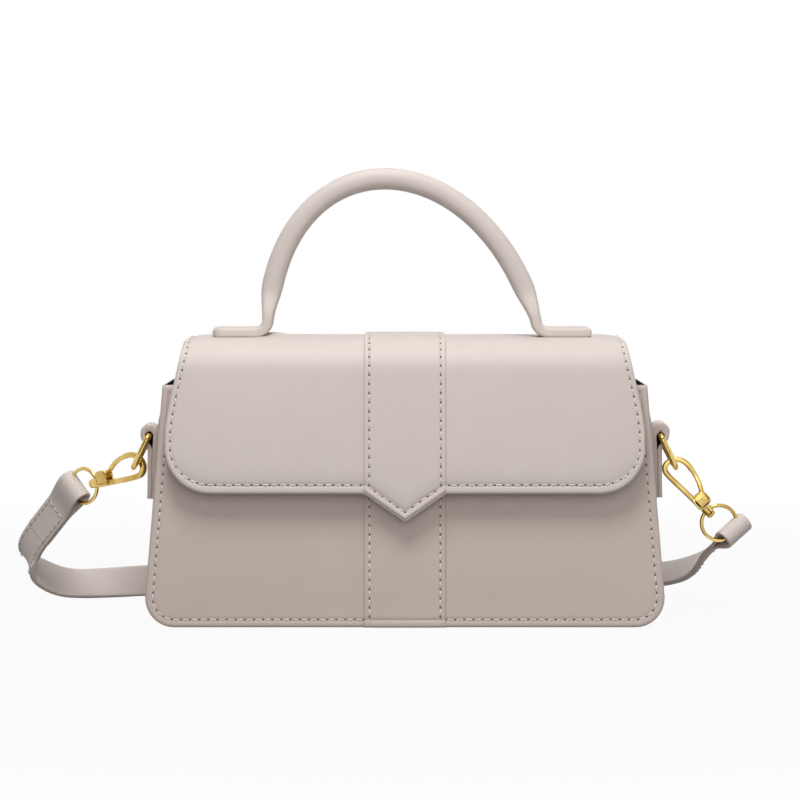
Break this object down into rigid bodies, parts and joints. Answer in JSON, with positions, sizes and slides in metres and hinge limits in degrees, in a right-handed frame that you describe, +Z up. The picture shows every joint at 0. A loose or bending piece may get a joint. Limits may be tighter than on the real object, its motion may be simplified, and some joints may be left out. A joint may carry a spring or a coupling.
{
  "type": "baguette bag",
  "caption": "Structured leather flap handbag with a rolled top handle, magnetic snap, side D-rings and a clip-on shoulder strap on swivel snap hooks.",
  "frame": {"origin": "on the floor under the middle of the bag without its strap", "axes": "+Z up, +X along the bag to the right of someone facing the flap, +Y from the flap's front to the back"},
  "size_m": [0.3082, 0.1276, 0.1865],
  "materials": {
    "leather": "smooth matt grain leather with painted edges",
    "strap_leather": "smooth matt grain leather, doubled, with painted edges",
    "lining_cloth": "black woven lining",
    "fibreboard": "pressed fibreboard",
    "handle_cord": "cotton filler cord",
    "snap_metal": "plated steel",
    "spring_steel": "spring wire",
    "tie_band": "plain woven tie",
    "gold_hardware": "polished gold-coloured plating"
  },
  "bodies": {
    "bag_body": {"front_panel": "leather", "back_panel": "leather", "gusset": "leather", "base_board": "fibreboard", "lining": "lining_cloth", "front_band": "leather", "left_side_tab": "leather", "right_side_tab": "leather", "body_magnet": "snap_metal", "body_magnet_washer": "snap_metal", "strap_left_run": "strap_leather", "strap_hank": "strap_leather", "strap_right_run": "strap_leather", "strap_tie": "tie_band"},
    "flap": {"flap_outer": "leather", "flap_lining": "leather", "flap_band": "leather", "flap_magnet": "snap_metal", "flap_magnet_washer": "snap_metal", "handle_wrap": "leather", "handle_core": "handle_cord"},
    "left_strap_end": {"left_swivel_eye": "gold_hardware", "left_strap_loop": "strap_leather"},
    "left_d_ring": {"left_d_ring": "gold_hardware"},
    "left_hook": {"left_hook_body": "gold_hardware", "left_gate_pin": "gold_hardware", "left_gate_spring": "spring_steel"},
    "left_gate": {"left_gate_lever": "gold_hardware"},
    "right_strap_end": {"right_swivel_eye": "gold_hardware", "right_strap_loop": "strap_leather"},
    "right_d_ring": {"right_d_ring": "gold_hardware"},
    "right_hook": {"right_hook_body": "gold_hardware", "right_gate_pin": "gold_hardware", "right_gate_spring": "spring_steel"},
    "right_gate": {"right_gate_lever": "gold_hardware"}
  },
  "joints": [
    {"name": "flap_hinge", "type": "hinge", "parent": "bag_body", "child": "flap", "pos_m": [0, 0.02114, 0.1151], "axis": [-1, 0, 0], "range_deg": [0, 120]},
    {"name": "left_strap_lift", "type": "hinge", "parent": "bag_body", "child": "left_strap_end", "pos_m": [-0.10583, 0, 0.0762], "axis": [0, 1, 0], "range_deg": [0, 28], "deforming": ["strap_left_run"]},
    {"name": "left_d_ring_turn", "type": "hinge", "parent": "bag_body", "child": "left_d_ring", "pos_m": [-0.10583, 0, 0.0762], "axis": [0, 1, 0], "range_deg": [0, 28]},
    {"name": "left_hook_swivel", "type": "hinge", "parent": "left_strap_end", "child": "left_hook", "pos_m": [-0.13519, 0.0166, 0.053], "axis": [-0.7813, 0.5781, -0.2351], "range_deg": [-6, 11]},
    {"name": "left_gate_hinge", "type": "hinge", "parent": "left_hook", "child": "left_gate", "pos_m": [-0.12605, 0.00984, 0.05703], "axis": [0.5948, 0.8039, 0], "range_deg": [0, 17], "stiffness_Nm_per_rad": 0.02, "springref_deg": -20.05},
    {"name": "right_strap_lift", "type": "hinge", "parent": "bag_body", "child": "right_strap_end", "pos_m": [0.10583, 0, 0.0762], "axis": [0, -1, 0], "range_deg": [0, 28], "deforming": ["strap_right_run"]},
    {"name": "right_d_ring_turn", "type": "hinge", "parent": "bag_body", "child": "right_d_ring", "pos_m": [0.10583, 0, 0.0762], "axis": [0, -1, 0], "range_deg": [0, 28]},
    {"name": "right_hook_swivel", "type": "hinge", "parent": "right_strap_end", "child": "right_hook", "pos_m": [0.13092, 0, 0.03918], "axis": [0.682, 0, -0.7314], "range_deg": [-25, 25]},
    {"name": "right_gate_hinge", "type": "hinge", "parent": "right_hook", "child": "right_gate", "pos_m": [0.12364, 0, 0.0488], "axis": [0, -1, 0], "range_deg": [0, 17], "stiffness_Nm_per_rad": 0.02, "springref_deg": -20.05}
  ],
  "couplings": [
    {"joint": "left_d_ring_turn", "follows": "left_strap_lift", "ratio": 1},
    {"joint": "right_d_ring_turn", "follows": "right_strap_lift", "ratio": 1}
  ]
}
